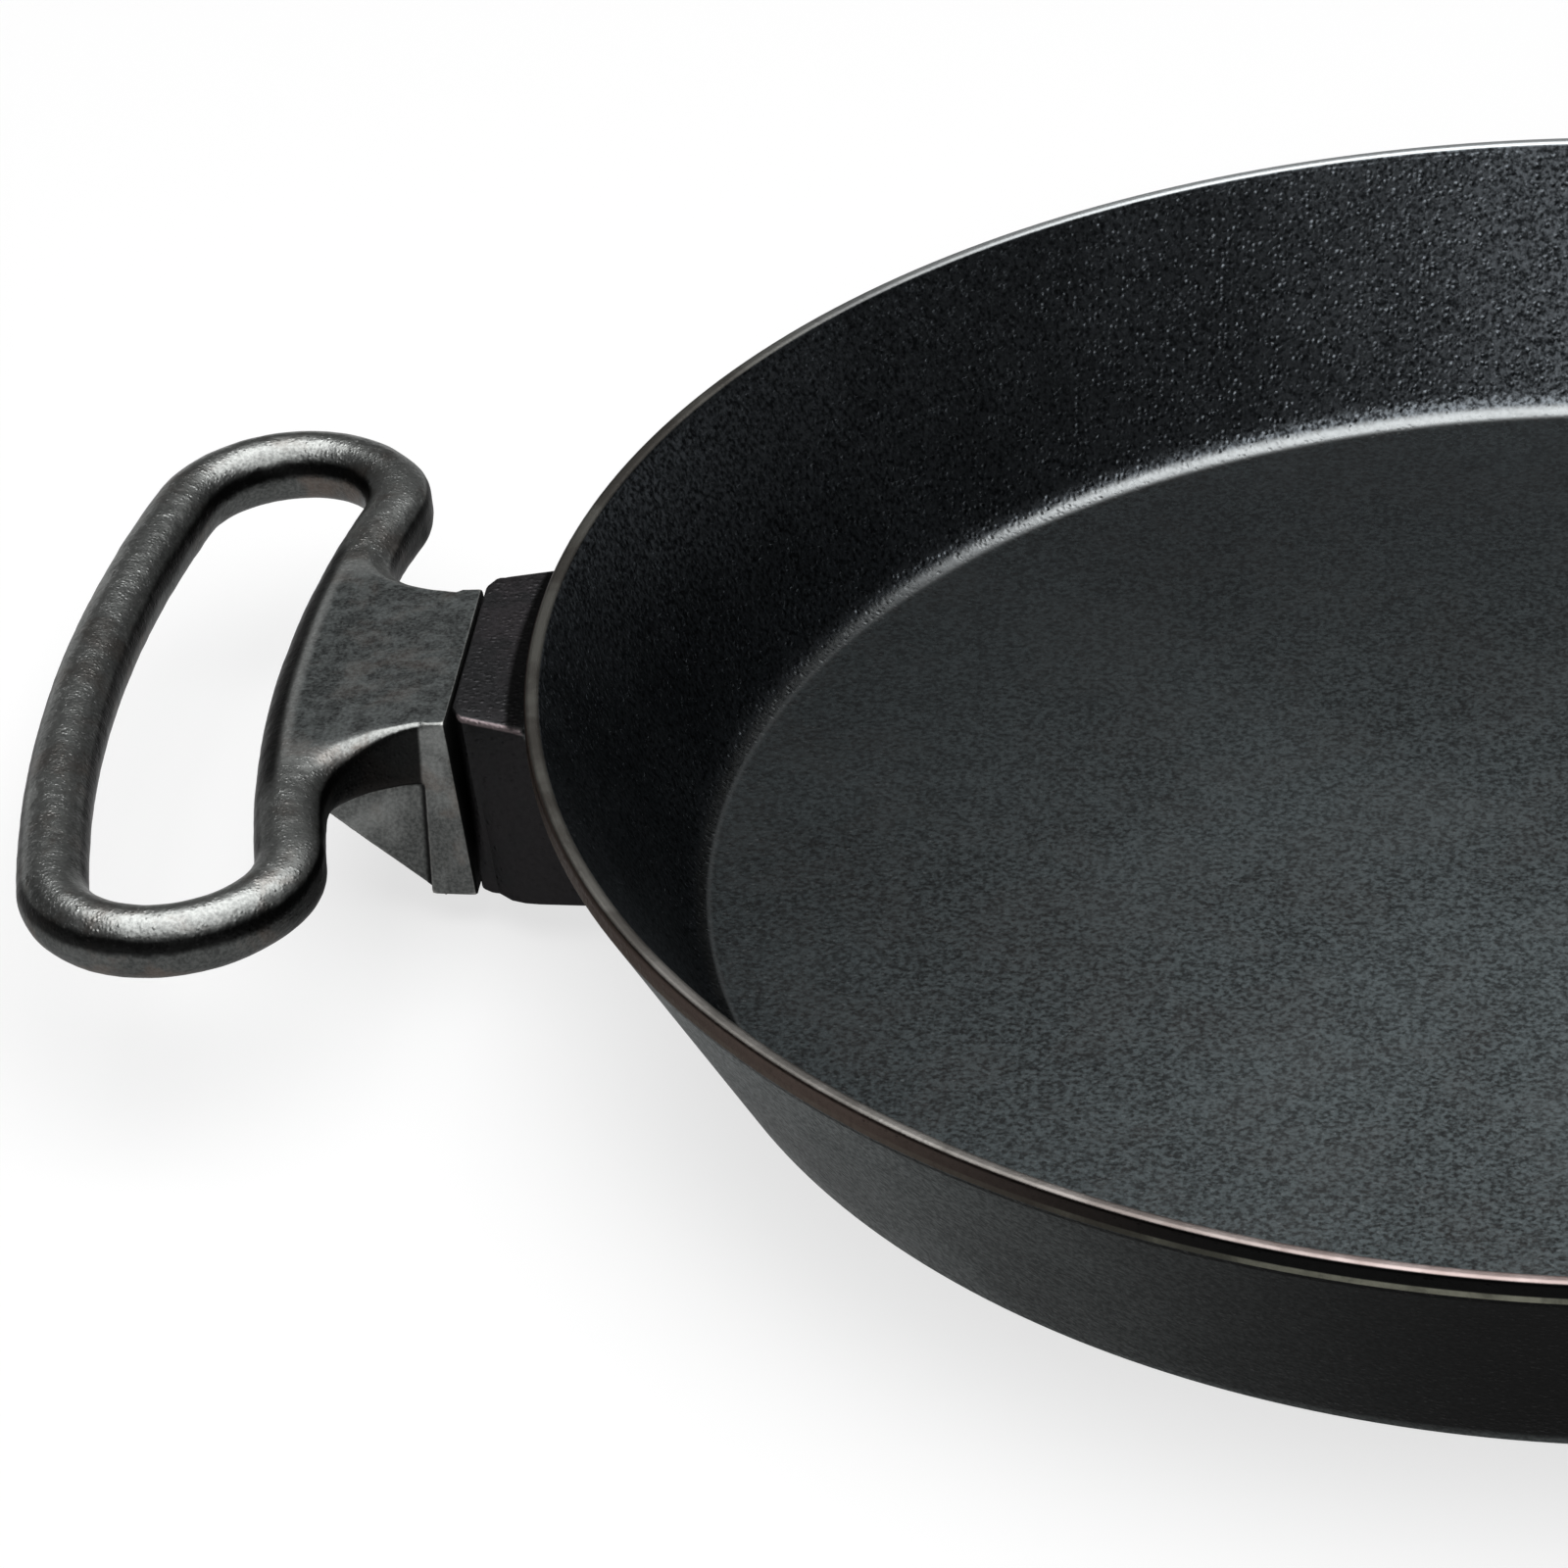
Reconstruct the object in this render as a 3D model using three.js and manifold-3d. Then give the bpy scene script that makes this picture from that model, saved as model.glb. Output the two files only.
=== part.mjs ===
// A wide cast iron pan with two stirrup handles that bolt onto lugs on its wall and come off.
// Millimetres, +Z up. The origin is the centre of the pan's underside, and the handles lie along X.

import * as THREE from 'three';
import { mergeVertices } from 'three/addons/utils/BufferGeometryUtils.js';
import Module from 'manifold-3d';

const wasm = await Module();
wasm.setup();

// Clearances
const fitGap = 0.3;       // between pieces that seat on or slide in one another
const seamGap = 1.4;      // shadow gap left between a lug and a handle flange
const holeEndGap = 0.6;   // free length past the tip of a bolt

// Pan
const rimRadius = 230;
const baseRadius = 199.5;
const panHeight = 58.5;
const rimBand = 4.5;      // height of the upright band below the rim
const wallThickness = 4.8;
const floorThickness = 5;
const floorFillet = 9;
const baseEdge = 1.5;
const rimEdge = 0.5;
const lipRound = 0.9;

// Lugs on the pan's wall
const lugDrop = 6.6;      // rim down to the top of a lug
const lugHeight = 43.2;
const lugReach = 14.2;    // rim out to the top edge of the seat face
const seatLean = THREE.MathUtils.degToRad(6.3);
const lugFaceHalf = 25.5;
const lugHalf = 29.5;
const lugCheekSetback = 2;
const lugRootHalf = 33.5;
const lugFootChamfer = 3.2;

// Handle loop and neck
const barRadius = 7.4;
const loopReach = 97.4;   // rim out to the middle of the outer bar
const loopWidth = 48.8;   // between the middles of the inner and outer bars
const bowRadius = 400;    // bend of the outer bar
const loopEndHalf = 73.5; // pan's X axis to the centre of a loop end
const neckHalf = 27;
const neckFillet = 25;
const neckEdge = 3;       // rounding of the neck's edges
const neckSink = 2;       // how far the neck's fillets run into the inner bar
const neckHeight = 42.2;  // middle of the neck above the underside, at the seat
const handleTilt = THREE.MathUtils.degToRad(3.5);
const barCrown = 0.4;     // half width of the flat along the top of the bar

// Handle flange, gusset cheeks and tenon
const flangeDrop = 8.3;   // rim down to the top of the flange
const flangeThickness = 5; // at the top edge
const flangeHalf = 28;
const flangeHeight = 42.8;
const flangeEdge = 0.8;
const cheekHalf = 25.5;
const cheekThickness = 7;
const cheekReach = 30;
const tenonHalf = 16;
const tenonHeight = 18;
const tenonLength = 10.5; // past the lug's seat face, at the bolt

// Bolt and washers
const boltRadius = 5;
const boltLength = 35;
const boltHeight = 22;    // bolt axis above the underside
const boltTip = 1.2;      // chamfer at the end of the thread
const hexFlats = 16;
const hexHeight = 6.4;
const hexEdge = 0.5;
const boltHole = 5.6;     // radius of the hole through a handle
const washerRadius = 10;
const washerThickness = 2;
const springRadius = 9;
const springThickness = 2.2;
const springSplit = 2;

// Facets
const turnFacets = 72;
const cornerFacets = 2;
const bendFacets = 6;
const roundFacets = 24;
const bevelFacets = 3;

// Values that follow from the sizes above
const wallHeight = panHeight - rimBand;
const wallSlope = (rimRadius - baseRadius) / wallHeight;
const wallAcross = wallThickness * Math.hypot(1, wallSlope);
const lugTop = panHeight - lugDrop;
const lugFoot = lugTop - lugHeight;
const seatTopX = rimRadius + lugReach;
const flangeBack = seatTopX + seamGap + flangeThickness;
const flangeTop = panHeight - flangeDrop;
const flangeFoot = flangeTop - flangeHeight;
const tenonEnd = seatX(boltHeight) - tenonLength;
const boltHeadX = flangeBack + washerThickness + springThickness + 3 * fitGap;
const boltEnd = boltHeadX - boltLength;
const washerHole = boltRadius + fitGap;

// Outer radius of the leaning wall at a height
function wallRadius(z) {
  return baseRadius + z * wallSlope;
}

// X of a lug's leaning seat face at a height
function seatX(z) {
  return seatTopX - (lugTop - z) * Math.tan(seatLean);
}

// Draws an outline through corners [x, y, radius], with each corner rounded to its radius
function outline(corners) {
  const shape = new THREE.Shape();
  const spots = corners.map(([x, y]) => new THREE.Vector2(x, y));
  spots.forEach((spot, index) => {
    const radius = corners[index][2] ?? 0;
    const before = spots.at(index - 1).clone().sub(spot).normalize();
    const after = spots[(index + 1) % spots.length].clone().sub(spot).normalize();
    const half = before.angleTo(after) / 2;
    const start = spot.clone().addScaledVector(before, radius / Math.tan(half));
    if (index === 0) {
      shape.moveTo(start.x, start.y);
    } else {
      shape.lineTo(start.x, start.y);
    }
    if (radius > 0) {
      const end = spot.clone().addScaledVector(after, radius / Math.tan(half));
      const inward = before.clone().add(after).normalize();
      const centre = spot.clone().addScaledVector(inward, radius / Math.sin(half));
      const from = start.clone().sub(centre).angle();
      const to = end.clone().sub(centre).angle();
      shape.absarc(centre.x, centre.y, radius, from, to, before.cross(after) > 0);
    }
  });
  return shape;
}

// Turns a closed three.js geometry into a solid that can be joined and cut
function solid(geometry) {
  geometry.deleteAttribute('normal');
  geometry.deleteAttribute('uv');
  const merged = mergeVertices(geometry, 1e-4);
  const index = merged.index.array;
  const triangles = [];
  for (let i = 0; i < index.length; i += 3) {
    const [a, b, c] = index.slice(i, i + 3);
    if (a !== b && b !== c && c !== a) {
      triangles.push(a, b, c);
    }
  }
  return new wasm.Manifold(new wasm.Mesh({
    numProp: 3,
    vertProperties: merged.attributes.position.array,
    triVerts: new Uint32Array(triangles),
  }));
}

// Turns a solid back into a geometry
function geometryOf(body) {
  const mesh = body.getMesh();
  const geometry = new THREE.BufferGeometry();
  geometry.setAttribute('position', new THREE.BufferAttribute(mesh.vertProperties, 3));
  geometry.setIndex(new THREE.BufferAttribute(mesh.triVerts, 1));
  geometry.computeVertexNormals();
  return geometry;
}

// A copy of a solid on the other side of the pan
function halfTurned(body) {
  return solid(geometryOf(body).rotateZ(Math.PI));
}

// A profile of [radius, height] corners turned about the Z axis
function turned(corners, facets) {
  const points = outline(corners).getPoints(cornerFacets);
  return new THREE.LatheGeometry(points, facets).rotateX(Math.PI / 2);
}

// A side outline in X and Z, as wide as given along Y, centred on Y = 0
function sideways(shape, width, edge = 0) {
  const geometry = new THREE.ExtrudeGeometry(shape, {
    depth: width - 2 * edge,
    bevelEnabled: edge > 0,
    bevelThickness: edge,
    bevelSize: edge,
    bevelOffset: -edge,
    bevelSegments: 1,
  });
  return geometry.rotateX(Math.PI / 2).translate(0, width / 2 - edge, 0);
}

// A block between two corners
function block(low, high) {
  const size = high.map((value, axis) => value - low[axis]);
  const middle = high.map((value, axis) => (value + low[axis]) / 2);
  return new THREE.BoxGeometry(...size).translate(...middle);
}

// A round bar along X at the bolt's height
function boltBar(radius, fromX, toX) {
  const bar = new THREE.CylinderGeometry(radius, radius, toX - fromX, roundFacets);
  return bar.rotateZ(Math.PI / 2).translate((fromX + toX) / 2, 0, boltHeight);
}

// The lug on the +X side, cut back to the middle of the pan's wall
function lugSolid() {
  const rootX = wallRadius(lugTop);
  const plan = new THREE.ExtrudeGeometry(outline([
    [seatTopX, -lugFaceHalf],
    [seatTopX, lugFaceHalf],
    [seatTopX - lugCheekSetback, lugHalf],
    [rootX, lugRootHalf],
    [0, lugRootHalf],
    [0, -lugRootHalf],
    [rootX, -lugRootHalf],
    [seatTopX - lugCheekSetback, -lugHalf],
  ]), { depth: panHeight, bevelEnabled: false });
  const side = sideways(outline([
    [0, lugFoot],
    [seatX(lugFoot + lugFootChamfer) - lugFootChamfer, lugFoot],
    [seatX(lugFoot + lugFootChamfer), lugFoot + lugFootChamfer],
    [seatTopX, lugTop],
    [0, lugTop],
  ]), 3 * lugRootHalf);
  const wallMiddle = turned([
    [0, -panHeight],
    [wallRadius(-panHeight) - wallAcross / 2, -panHeight],
    [wallRadius(2 * panHeight) - wallAcross / 2, 2 * panHeight],
    [0, 2 * panHeight],
  ], turnFacets);
  return solid(plan).intersect(solid(side)).subtract(solid(wallMiddle));
}

// The tenon's socket and the threaded hole behind it, on the +X side
function lugSocket() {
  const socket = block(
    [tenonEnd - fitGap, -tenonHalf - fitGap, boltHeight - tenonHeight / 2 - fitGap],
    [seatTopX + seamGap, tenonHalf + fitGap, boltHeight + tenonHeight / 2 + fitGap],
  );
  const hole = boltBar(washerHole, boltEnd - holeEndGap, tenonEnd);
  return solid(socket).add(solid(hole));
}

function panGeometry() {
  const shell = solid(turned([
    [0, 0],
    [baseRadius, 0, baseEdge],
    [rimRadius, wallHeight],
    [rimRadius, panHeight, rimEdge],
    [wallRadius(panHeight) - wallAcross, panHeight, lipRound],
    [wallRadius(floorThickness) - wallAcross, floorThickness, floorFillet],
    [0, floorThickness],
  ], turnFacets));
  const lug = lugSolid();
  const socket = lugSocket();
  return geometryOf(shell
    .add(lug)
    .add(halfTurned(lug))
    .subtract(socket)
    .subtract(halfTurned(socket)));
}

// Centre of the loop's bend, and the angle from it to the centre of a loop end
const bowX = rimRadius + loopReach - bowRadius;
const middleBow = bowRadius - loopWidth / 2;
const endAngle = Math.asin(loopEndHalf / middleBow);
const endX = bowX + middleBow * Math.cos(endAngle);

// Draws a bent slot that stands off from the middle of the bar: outside it, or inside where negative
function bentSlot(path, standOff) {
  const endRadius = loopWidth / 2 + standOff;
  path.absarc(bowX, 0, bowRadius + standOff, -endAngle, endAngle);
  path.absarc(endX, loopEndHalf, endRadius, endAngle, Math.PI + endAngle);
  path.absarc(bowX, 0, bowRadius - loopWidth - standOff, endAngle, -endAngle, true);
  path.absarc(endX, -loopEndHalf, endRadius, Math.PI - endAngle, 2 * Math.PI - endAngle);
  return path;
}

// Plan of the neck: it runs from behind the seat into the inner bar, with a fillet on each side
function neckShape() {
  const buried = bowRadius - loopWidth - barRadius + neckSink;
  const filletY = neckHalf + neckFillet;
  const filletX = bowX + Math.sqrt((buried - neckFillet) ** 2 - filletY ** 2);
  const filletAngle = Math.atan2(filletY, filletX - bowX);
  const rootX = seatX(flangeFoot) - barRadius;
  const shape = new THREE.Shape();
  shape.moveTo(rootX, -neckHalf);
  shape.absarc(filletX, -filletY, neckFillet, Math.PI / 2, -filletAngle, true);
  const tip = shape.currentPoint.clone();
  shape.lineTo(tip.x + barRadius, tip.y);
  shape.lineTo(tip.x + barRadius, -tip.y);
  shape.absarc(filletX, filletY, neckFillet, filletAngle, -Math.PI / 2, true);
  shape.lineTo(rootX, neckHalf);
  return shape;
}

// A plan as thick as the bar, with rounded edges, laid in the handle's tilted plane
function inHandlePlane(shape, edge) {
  const core = barRadius - edge;
  const geometry = new THREE.ExtrudeGeometry(shape, {
    depth: 2 * core,
    bevelThickness: edge,
    bevelSize: edge,
    bevelOffset: -edge,
    bevelSegments: bevelFacets,
    curveSegments: bendFacets,
  });
  return geometry.translate(-seatTopX, 0, -core).rotateY(handleTilt).translate(seatTopX, 0, neckHeight);
}

// Height of the middle of the bar along the tilted handle
function barHeight(x) {
  return neckHeight - (x - seatTopX) * Math.tan(handleTilt);
}

function handleGeometry() {
  const ring = bentSlot(new THREE.Shape(), barRadius);
  ring.holes.push(bentSlot(new THREE.Path(), -barRadius));
  const loop = inHandlePlane(ring, barRadius - barCrown);
  const neck = inHandlePlane(neckShape(), neckEdge);
  const beyondSeat = sideways(outline([
    [0, 0],
    [seatX(0) + seamGap, 0],
    [seatX(2 * panHeight) + seamGap, 2 * panHeight],
    [0, 2 * panHeight],
  ]), 4 * flangeHalf);
  const flange = sideways(outline([
    [seatX(flangeFoot) + seamGap, flangeFoot],
    [flangeBack, flangeFoot],
    [flangeBack, flangeTop],
    [seatX(flangeTop) + seamGap, flangeTop],
  ]), 2 * flangeHalf, flangeEdge);
  const cheekTip = flangeBack + cheekReach;
  const rootX = flangeBack - flangeThickness / 2;
  const cheek = sideways(outline([
    [rootX, flangeFoot + flangeEdge],
    [flangeBack, flangeFoot + flangeEdge],
    [cheekTip, barHeight(cheekTip) - barRadius],
    [cheekTip, barHeight(cheekTip)],
    [rootX, barHeight(rootX)],
  ]), cheekThickness);
  const tenon = block(
    [tenonEnd, -tenonHalf, boltHeight - tenonHeight / 2],
    [rootX, tenonHalf, boltHeight + tenonHeight / 2],
  );
  const cheekShift = cheekHalf - cheekThickness / 2;
  return geometryOf(solid(neck)
    .subtract(solid(beyondSeat))
    .add(solid(loop))
    .add(solid(flange))
    .add(solid(cheek.clone().translate(0, cheekShift, 0)))
    .add(solid(cheek.clone().translate(0, -cheekShift, 0)))
    .add(solid(tenon))
    .subtract(solid(boltBar(boltHole, tenonEnd - boltLength, flangeBack + boltLength))));
}

function boltGeometry() {
  const shank = turned([
    [0, 0],
    [boltRadius - boltTip, 0],
    [boltRadius, boltTip],
    [boltRadius, boltLength + hexHeight / 2],
    [0, boltLength + hexHeight / 2],
  ], roundFacets);
  const corners = Array.from({ length: 6 }, (_, side) => {
    const angle = side * Math.PI / 3;
    const reach = hexFlats / Math.sqrt(3);
    return [reach * Math.cos(angle), reach * Math.sin(angle)];
  });
  const head = new THREE.ExtrudeGeometry(outline(corners), {
    depth: hexHeight - 2 * hexEdge,
    bevelThickness: hexEdge,
    bevelSize: hexEdge,
    bevelOffset: -hexEdge,
    bevelSegments: 1,
  });
  head.translate(0, 0, boltLength + hexEdge);
  const bolt = geometryOf(solid(shank).add(solid(head)));
  return bolt.rotateY(Math.PI / 2).translate(boltEnd, 0, boltHeight);
}

function flatWasherGeometry() {
  const ring = turned([
    [washerHole, 0],
    [washerRadius, 0],
    [washerRadius, washerThickness],
    [washerHole, washerThickness],
    [washerHole, 0],
  ], roundFacets);
  return ring.rotateY(Math.PI / 2).translate(flangeBack + fitGap, 0, boltHeight);
}

// A split ring, with its split at the bottom
function springWasherGeometry() {
  const outerSplit = Math.asin(springSplit / 2 / springRadius);
  const innerSplit = Math.asin(springSplit / 2 / washerHole);
  const shape = new THREE.Shape();
  shape.absarc(0, 0, springRadius, outerSplit, 2 * Math.PI - outerSplit);
  shape.absarc(0, 0, washerHole, 2 * Math.PI - innerSplit, innerSplit, true);
  const ring = new THREE.ExtrudeGeometry(shape, {
    depth: springThickness,
    bevelEnabled: false,
    curveSegments: roundFacets / 2,
  });
  return ring.rotateY(Math.PI / 2).translate(flangeBack + washerThickness + 2 * fitGap, 0, boltHeight);
}

// A named piece with its own material
function piece(name, geometry, color, roughness, metalness) {
  const material = new THREE.MeshStandardMaterial({ color, roughness, metalness });
  const mesh = new THREE.Mesh(geometry, material);
  mesh.name = name;
  return mesh;
}

const group = new THREE.Group();
group.add(piece('pan_body', panGeometry(), 0x35393b, 0.6, 0.6));

for (const [side, turn] of [['right', 0], ['left', Math.PI]]) {
  const assembly = new THREE.Group();
  assembly.rotation.z = turn;
  assembly.add(piece(`${side}_handle`, handleGeometry(), 0x2b2d2d, 0.5, 0.6));
  assembly.add(piece(`${side}_flat_washer`, flatWasherGeometry(), 0x85888a, 0.4, 1));
  assembly.add(piece(`${side}_spring_washer`, springWasherGeometry(), 0x5a5d60, 0.45, 1));
  assembly.add(piece(`${side}_bolt`, boltGeometry(), 0x74777a, 0.4, 1));
  group.add(assembly);
}

export default group;
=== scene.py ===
import math

import bmesh
import bpy
import numpy as np
from mathutils import Matrix, Vector, noise


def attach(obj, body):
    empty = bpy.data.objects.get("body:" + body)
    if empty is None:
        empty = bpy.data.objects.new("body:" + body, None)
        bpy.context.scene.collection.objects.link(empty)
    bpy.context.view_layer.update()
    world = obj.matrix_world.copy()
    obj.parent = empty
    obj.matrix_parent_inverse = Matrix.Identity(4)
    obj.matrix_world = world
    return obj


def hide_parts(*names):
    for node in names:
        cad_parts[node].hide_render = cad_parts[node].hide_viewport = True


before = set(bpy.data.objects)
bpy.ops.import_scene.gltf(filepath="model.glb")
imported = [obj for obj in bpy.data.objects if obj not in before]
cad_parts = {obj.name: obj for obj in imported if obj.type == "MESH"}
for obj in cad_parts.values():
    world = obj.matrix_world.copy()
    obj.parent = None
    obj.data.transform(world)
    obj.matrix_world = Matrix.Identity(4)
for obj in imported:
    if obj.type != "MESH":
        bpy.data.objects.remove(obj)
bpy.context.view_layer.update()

mm = 0.001
scene = bpy.context.scene

# Shape helpers, sizes in millimetres until an object is made


def makeObject(name, points, faces):
    mesh = bpy.data.meshes.new(name)
    mesh.from_pydata([Vector(point) * mm for point in points], [], faces)
    mesh.update()
    made = bpy.data.objects.new(name, mesh)
    scene.collection.objects.link(made)
    return made


def joinRings(rings, closedRings=False):
    # Skins rings of equal length; open ends get a cap
    count = len(rings[0])
    points = [point for ring in rings for point in ring]
    faces = []
    bands = len(rings) if closedRings else len(rings) - 1
    for row in range(bands):
        here, there = row * count, (row + 1) % len(rings) * count
        for step in range(count):
            after = (step + 1) % count
            faces.append((here + step, here + after, there + after, there + step))
    if not closedRings:
        faces.append(tuple(range(count))[::-1])
        faces.append(tuple(range(len(points) - count, len(points))))
    return points, faces


def faceOutward(made):
    work = bmesh.new()
    work.from_mesh(made.data)
    bmesh.ops.recalc_face_normals(work, faces=work.faces)
    work.to_mesh(made.data)
    work.free()
    return made


def clamp(value):
    return min(max(value, 0), 1)


def roundedOutline(corners, arcSteps):
    # Corners are (a, b, radius); each becomes an arc
    outline = []
    for index, (a, b, radius) in enumerate(corners):
        spot = Vector((a, b))
        before = (Vector(corners[index - 1][:2]) - spot).normalized()
        after = (Vector(corners[(index + 1) % len(corners)][:2]) - spot).normalized()
        if radius <= 0:
            outline.append(spot)
            continue
        half = before.angle(after) / 2
        centre = spot + (before + after).normalized() * radius / math.sin(half)
        start = spot + before * radius / math.tan(half) - centre
        sweep = math.pi - 2 * half
        way = 1 if before.cross(after) < 0 else -1
        for step in range(arcSteps + 1):
            turn = way * sweep * step / arcSteps
            outline.append(centre + Matrix.Rotation(turn, 2) @ start)
    return outline


def splitStraights(line, longest, support):
    # Adds points close to both ends of a long straight and along it
    full = [line[0]]
    for start, end in zip(line, line[1:]):
        length = (end - start).length
        if length > 3 * support:
            cuts = max(1, math.ceil((length - 2 * support) / longest))
            spots = [support + (length - 2 * support) * cut / cuts for cut in range(cuts + 1)]
            full += [start.lerp(end, spot / length) for spot in spots]
        full.append(end)
    return full


def turnProfile(name, profile, steps):
    # Turns (radius, height) points about Z; points on the axis become poles
    onAxis = 1e-6
    points, rings, faces = [], [], []
    for radius, height in profile:
        if radius < onAxis:
            rings.append([len(points)] * steps)
            points.append((0, 0, height))
            continue
        rings.append(list(range(len(points), len(points) + steps)))
        for step in range(steps):
            angle = 2 * math.pi * step / steps
            points.append((radius * math.cos(angle), radius * math.sin(angle), height))
    for low, high in zip(rings, rings[1:]):
        for step in range(steps):
            after = (step + 1) % steps
            corners = dict.fromkeys((low[step], low[after], high[after], high[step]))
            faces.append(tuple(corners))
    return faceOutward(makeObject(name, points, faces))


def closedTurn(name, profile, steps):
    # Turns a closed (radius, height) outline about Z into a ring
    rings = []
    for step in range(steps):
        angle = 2 * math.pi * step / steps
        rings.append([(r * math.cos(angle), r * math.sin(angle), z) for r, z in profile])
    return faceOutward(makeObject(name, *joinRings(rings, closedRings=True)))


def finishModifiers(made):
    graph = bpy.context.evaluated_depsgraph_get()
    mesh = bpy.data.meshes.new_from_object(made.evaluated_get(graph))
    old = made.data
    made.modifiers.clear()
    made.data = mesh
    bpy.data.meshes.remove(old)
    mesh.name = made.name
    return made


def combine(made, other, operation):
    tool = made.modifiers.new("combine", "BOOLEAN")
    tool.operation = operation
    tool.solver = "EXACT"
    tool.object = other
    finishModifiers(made)
    bpy.data.objects.remove(other)
    return made


def smoothShade(made, sharpAngle):
    made.data.shade_smooth()
    made.data.set_sharp_from_angle(angle=math.radians(sharpAngle))
    return made


def swingToLeft(made):
    # Half a turn about the pan's axis
    made.data.transform(Matrix.Rotation(math.pi, 4, "Z"))


def leftCopy(made, name):
    twin = made.copy()
    twin.data = made.data.copy()
    twin.name = twin.data.name = name
    swingToLeft(twin)
    scene.collection.objects.link(twin)
    return twin


def wear(made, material):
    made.data.materials.clear()
    made.data.materials.append(material)
    return made


# Node helpers


def addNode(tree, kind, inputs=None, **settings):
    made = tree.nodes.new("ShaderNode" + kind)
    for key, value in settings.items():
        setattr(made, key, value)
    for key, value in (inputs or {}).items():
        if isinstance(value, bpy.types.NodeSocket):
            tree.links.new(value, made.inputs[key])
        else:
            made.inputs[key].default_value = value
    return made


def calc(tree, operation, first, second=0.0):
    return addNode(tree, "Math", {0: first, 1: second}, operation=operation).outputs[0]


def times(tree, product, *others):
    for other in others:
        product = calc(tree, "MULTIPLY", product, other)
    return product


def lifted(tree, value, weight, least):
    # A share of a value on top of a least amount
    return calc(tree, "ADD", times(tree, value, weight), least)


def weighed(tree, first, second, weights):
    # Sum of two values, each times its weight
    return calc(tree, "ADD", times(tree, first, weights[0]), times(tree, second, weights[1]))


def opposite(tree, mask):
    return calc(tree, "SUBTRACT", 1.0, mask)


def ramp(tree, value, low, high, toLow=0.0, toHigh=1.0):
    # Smooth step from low to high
    made = addNode(tree, "MapRange", {
        "Value": value, "From Min": low, "From Max": high, "To Min": toLow, "To Max": toHigh,
    }, interpolation_type="SMOOTHSTEP")
    return made.outputs["Result"]


def zonesIn(tree, limits):
    # Smooth steps between named pairs of millimetres: none at the first, full at the second
    def zone(value, name, toNone=0.0, toFull=1.0):
        none, full = limits[name]
        return ramp(tree, value, none * mm, full * mm, toNone, toFull)

    return zone


def mixColours(tree, mask, first, second):
    made = addNode(tree, "Mix", {0: mask, 6: first, 7: second}, data_type="RGBA")
    return made.outputs[2]


def mixValues(tree, mask, first, second):
    made = addNode(tree, "Mix", {0: mask, 2: first, 3: second}, data_type="FLOAT")
    return made.outputs[0]


def rgb(red, green, blue):
    return (red, green, blue, 1.0)


def startGroup(name, inputs, outputs):
    tree = bpy.data.node_groups.new(name, "ShaderNodeTree")
    for label, value in inputs.items():
        made = tree.interface.new_socket(label, in_out="INPUT", socket_type="NodeSocketFloat")
        made.default_value = value
    for label in outputs:
        tree.interface.new_socket(label, in_out="OUTPUT", socket_type="NodeSocketFloat")
    entry = tree.nodes.new("NodeGroupInput")
    leave = tree.nodes.new("NodeGroupOutput")
    return tree, entry.outputs, leave.inputs


def useGroup(tree, group, **values):
    made = tree.nodes.new("ShaderNodeGroup")
    made.node_tree = group
    for label, value in values.items():
        made.inputs[label].default_value = value
    return made.outputs


def startMaterial(name, **plain):
    # Plain values go straight onto the shader's sockets
    material = bpy.data.materials.new(name)
    material.use_nodes = True
    tree = material.node_tree
    shader = tree.nodes["Principled BSDF"]
    for label, value in plain.items():
        shader.inputs[label.replace("_", " ")].default_value = value
    return material, tree, shader.inputs


def place(tree):
    # Position on the part, and its X, Y, Z
    spot = addNode(tree, "TexCoord").outputs["Object"]
    axes = addNode(tree, "SeparateXYZ", {0: spot}).outputs
    return spot, axes


def upFacing(tree):
    # How far the surface faces up: 1 on top, 0 on upright sides
    normal = addNode(tree, "TexCoord").outputs["Normal"]
    return addNode(tree, "SeparateXYZ", {0: normal}).outputs["Z"]


# Effects that several finishes share

effects = {
    "grainDome": (0.75, 0.0), "grainFine": 0.35, "grainTone": (0.32, 0.68),
    "grain": {"Detail": 2.5, "Roughness": 0.6},
    "cloud": {"Detail": 5.0, "Roughness": 0.62, "Distortion": 0.4},
    "dents": {"Detail": 3.0, "Roughness": 0.55},
}


def sizedNoise(tree, size, kind, **settings):
    # A texture whose scale comes from a size in millimetres
    spot, _ = place(tree)
    scale = calc(tree, "DIVIDE", 1 / mm, size)
    return addNode(tree, kind, {"Vector": spot, "Scale": scale, **settings}).outputs


def sandGrainGroup():
    # Grain of a sand casting: height for bumps, tone for colour
    tree, entry, leave = startGroup("sandGrain", {"Size": 1.3}, ["Height", "Tone"])
    fine = sizedNoise(tree, entry["Size"], "TexNoise", **effects["grain"])["Fac"]
    grains = sizedNoise(tree, entry["Size"], "TexVoronoi", Randomness=1.0)
    size = addNode(tree, "SeparateColor", {0: grains["Color"]}).outputs[0]
    dome = times(tree, ramp(tree, grains["Distance"], *effects["grainDome"]), times(tree, size, size))
    height = calc(tree, "ADD", dome, times(tree, fine, effects["grainFine"]))
    tree.links.new(height, leave["Height"])
    tree.links.new(ramp(tree, fine, *effects["grainTone"]), leave["Tone"])
    return tree


def unevenGroup():
    # Broad uneven tone, with a finer ragged edge
    tree, entry, leave = startGroup("uneven", {"Size": 60.0, "Low": 0.4, "High": 0.6}, ["Mask"])
    cloud = sizedNoise(tree, entry["Size"], "TexNoise", **effects["cloud"])["Fac"]
    tree.links.new(ramp(tree, cloud, entry["Low"], entry["High"]), leave["Mask"])
    return tree


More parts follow.
